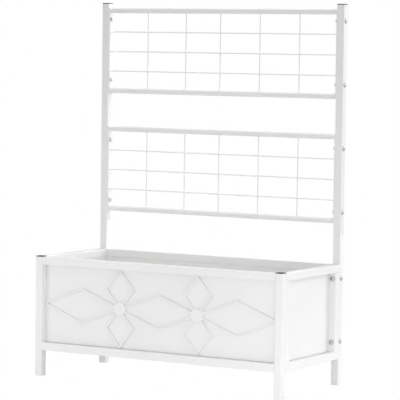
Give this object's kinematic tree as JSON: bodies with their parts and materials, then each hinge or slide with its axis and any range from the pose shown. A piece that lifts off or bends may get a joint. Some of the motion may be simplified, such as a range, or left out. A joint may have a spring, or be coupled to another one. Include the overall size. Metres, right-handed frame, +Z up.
{
  "type": "planter with trellis",
  "caption": "Raised metal planter box on legs, with a lozenge lattice on its front sheet and a wire trellis bolted up behind it.",
  "frame": {"origin": "middle of the footprint, on the floor that the legs stand on", "axes": "+Z up along the legs, -Y out of the ornamented front, +X to the right seen from the front"},
  "size_m": [0.9076, 0.4008, 1.202],
  "materials": {
    "white_paint": "satin powder coat",
    "grey_plastic": "matte, moulded",
    "zinc_plate": "satin zinc plate"
  },
  "bodies": {
    "root": {"front_leg_left": "white_paint", "front_leg_right": "white_paint", "front_top_rail": "white_paint", "front_bottom_rail": "white_paint", "front_sheet": "white_paint", "ornament_lattice": "white_paint", "side_top_rail_left": "white_paint", "side_bottom_rail_left": "white_paint", "side_front_stile_left": "white_paint", "side_rear_stile_left": "white_paint", "side_sheet_left": "white_paint", "side_top_rail_right": "white_paint", "side_bottom_rail_right": "white_paint", "side_front_stile_right": "white_paint", "side_rear_stile_right": "white_paint", "side_sheet_right": "white_paint", "rear_top_rail": "white_paint", "rear_bottom_rail": "white_paint", "rear_stile_left": "white_paint", "rear_stile_right": "white_paint", "rear_sheet": "white_paint", "rear_leg_left": "white_paint", "rear_leg_right": "white_paint", "trellis_upright_left": "white_paint", "trellis_upright_right": "white_paint", "lower_trellis_bottom_rail": "white_paint", "lower_trellis_top_rail": "white_paint", "lower_trellis_wires": "white_paint", "upper_trellis_bottom_rail": "white_paint", "upper_trellis_top_rail": "white_paint", "upper_trellis_wires": "white_paint", "base_crossbar_left": "white_paint", "base_crossbar_right": "white_paint", "base_tray": "white_paint", "trellis_bolt_left_1": "zinc_plate", "trellis_bolt_left_2": "zinc_plate", "trellis_bolt_left_3": "zinc_plate", "trellis_bolt_left_4": "zinc_plate", "trellis_bolt_right_1": "zinc_plate", "trellis_bolt_right_2": "zinc_plate", "trellis_bolt_right_3": "zinc_plate", "trellis_bolt_right_4": "zinc_plate", "leg_bolt_left_1": "zinc_plate", "leg_bolt_left_2": "zinc_plate", "leg_bolt_right_1": "zinc_plate", "leg_bolt_right_2": "zinc_plate", "leg_cap_left": "grey_plastic", "leg_cap_right": "grey_plastic", "upright_cap_left": "grey_plastic", "upright_cap_right": "grey_plastic", "foot_plug_front_left": "grey_plastic", "foot_plug_front_right": "grey_plastic", "foot_plug_rear_left": "grey_plastic", "foot_plug_rear_right": "grey_plastic"}
  },
  "joints": []
}
